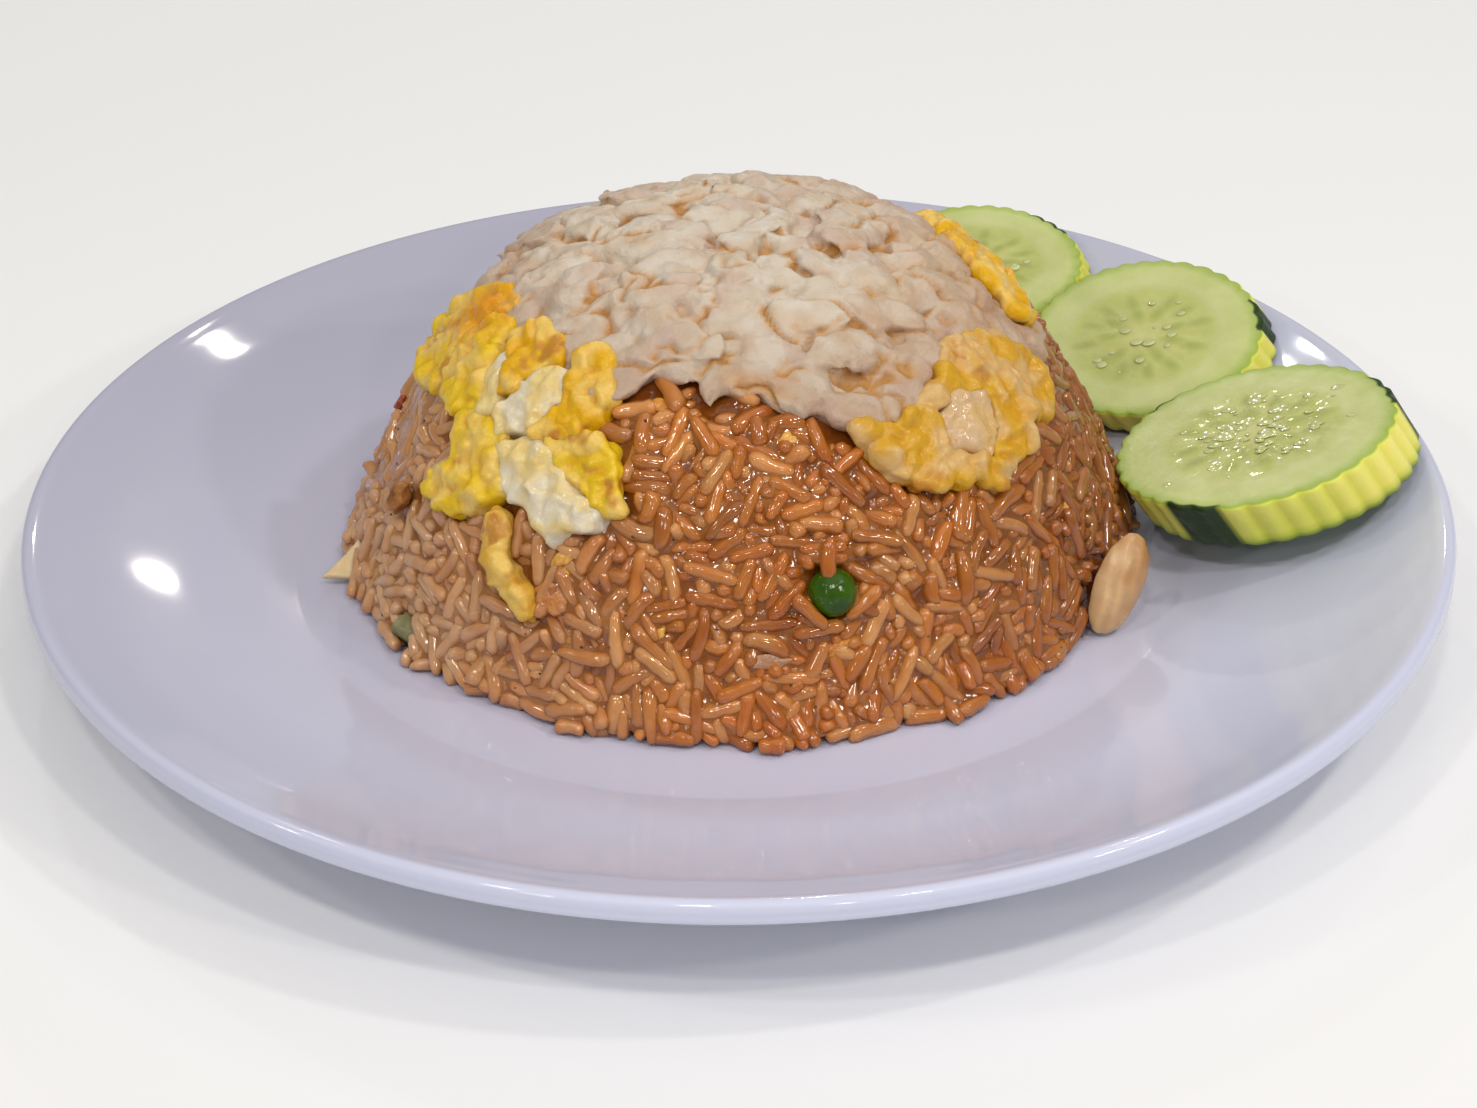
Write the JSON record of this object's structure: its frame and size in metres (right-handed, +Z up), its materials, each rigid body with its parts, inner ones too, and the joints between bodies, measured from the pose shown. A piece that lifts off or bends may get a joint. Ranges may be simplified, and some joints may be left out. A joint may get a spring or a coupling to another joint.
{
  "type": "fried rice plate",
  "caption": "Bowl-moulded crab fried rice with flaked crab and egg on top, on a round coupe plate with fluted cucumber slices.",
  "frame": {"origin": "centre of the plate's foot, on the table", "axes": "+Z up through the plate, -Y towards the diner, +X to the diner's right, where the cucumber lies"},
  "size_m": [0.254, 0.254, 0.0672],
  "materials": {
    "plate": "glossy white melamine",
    "rice": "moist soy-browned rice grains with an oily sheen",
    "crab": "moist flaked crab meat",
    "egg": "soft scrambled egg yolk curds",
    "egg_white": "soft set egg white",
    "cucumber": "wet cut cucumber flesh with strips of dark skin",
    "pea": "glossy cooked green pea",
    "onion": "translucent cooked onion",
    "scallion": "soft cooked scallion",
    "garlic": "fried brown garlic"
  },
  "bodies": {
    "root": {"plate": "plate", "rice_mound": "rice", "crab_topping": "crab", "egg_left_shoulder": "egg", "egg_left_edge": "egg", "egg_left_top": "egg", "egg_left_upper": "egg", "egg_left_lower": "egg", "egg_left_corner": "egg", "egg_right": "egg", "egg_back_right": "egg", "egg_strand": "egg", "egg_white_left_upper": "egg_white", "egg_white_left_sliver": "egg_white", "egg_white_left_lower": "egg_white", "egg_white_right": "egg_white", "egg_white_scrap": "egg_white", "cucumber_slice_back": "cucumber", "cucumber_slice_middle": "cucumber", "cucumber_slice_front": "cucumber", "pea": "pea", "onion_petal": "onion", "scallion_ring": "scallion", "fried_garlic_chip": "garlic"}
  },
  "joints": []
}
